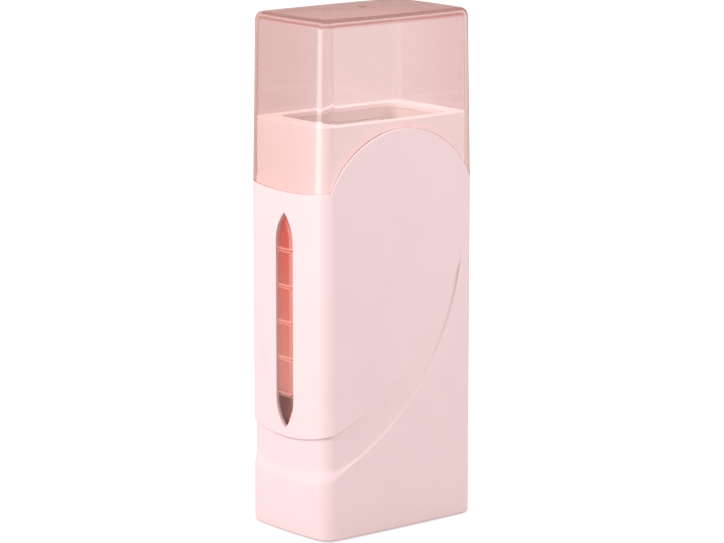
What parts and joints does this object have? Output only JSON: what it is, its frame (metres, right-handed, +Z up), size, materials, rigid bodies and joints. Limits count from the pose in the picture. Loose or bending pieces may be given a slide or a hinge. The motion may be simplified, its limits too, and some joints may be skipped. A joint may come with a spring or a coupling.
{
  "type": "roll-on wax heater",
  "caption": "Slim upright roll-on wax cartridge heater with a level window, a heated well, a rocker switch and a transparent lift-off lid.",
  "frame": {"origin": "on the surface that the feet stand on, in the middle of the footprint", "axes": "+Z up, X across the wide face with the level window on -X, Y through the depth with the front face on -Y"},
  "size_m": [0.072, 0.046, 0.1892],
  "materials": {
    "casing_plastic": "satin moulded pink polypropylene",
    "lid_plastic": "polished transparent pink-tinted polystyrene",
    "window_plastic": "polished clear polycarbonate, raised level marks",
    "liner_plastic": "heat-resistant red-pink plastic, satin",
    "plate_aluminium": "rolled sheet, mill finish",
    "ptc_ceramic": "fired grey ceramic with silvered faces",
    "brass": "bright drawn brass",
    "polyimide_film": "amber polyimide film",
    "spring_steel": "cold-rolled spring steel",
    "screw_steel": "zinc-plated steel",
    "fuse_body": "drawn aluminium can",
    "glass_fibre": "braided glass-fibre sleeve",
    "block_plastic": "natural nylon",
    "black_plastic": "black moulded nylon, fine grain",
    "rocker_plastic": "black moulded nylon, polished",
    "plated_pins": "nickel-plated brass",
    "connector_metal": "tinned brass",
    "lamp_red": "clear red lens",
    "bulb_glass": "clear lamp glass",
    "resistor_body": "lacquered ceramic",
    "rubber_grey": "moulded rubber, matte",
    "wire_brown": "PVC insulation",
    "wire_blue": "PVC insulation",
    "wire_white": "silicone insulation",
    "lead_metal": "tinned copper lead"
  },
  "bodies": {
    "base": {"front_shell": "casing_plastic", "rear_shell": "casing_plastic", "window_lens": "window_plastic", "cartridge_liner": "liner_plastic", "heater_plate": "plate_aluminium", "ptc_element": "ptc_ceramic", "ptc_electrodes": "brass", "ptc_insulation": "polyimide_film", "ptc_clamp": "spring_steel", "clamp_screws": "screw_steel", "thermal_fuse": "fuse_body", "fuse_sleeve": "glass_fibre", "terminal_block": "block_plastic", "terminal_sleeves": "brass", "terminal_screws": "screw_steel", "block_screw": "screw_steel", "switch_housing": "black_plastic", "switch_terminals": "brass", "inlet_housing": "black_plastic", "inlet_pins": "plated_pins", "wire_connectors": "connector_metal", "lamp_lens": "lamp_red", "neon_lamp": "bulb_glass", "lamp_resistor": "resistor_body", "case_screws": "screw_steel", "rubber_feet": "rubber_grey", "supply_wire_live": "wire_brown", "supply_wire_neutral": "wire_blue", "switched_wire": "wire_brown", "heater_wire_live": "wire_white", "fuse_wire": "wire_white", "heater_wire_neutral": "wire_white", "lamp_wires": "lead_metal"},
    "lid": {"lid": "lid_plastic"},
    "rocker": {"switch_rocker": "rocker_plastic"}
  },
  "joints": [
    {"name": "lid_lift", "type": "slide", "parent": "base", "child": "lid", "axis": [0, 0, 1], "range_m": [0, 0.06]},
    {"name": "switch_tilt", "type": "hinge", "parent": "base", "child": "rocker", "pos_m": [0.0332, 0, 0.031], "axis": [0, 1, 0], "range_deg": [0, 16]}
  ]
}
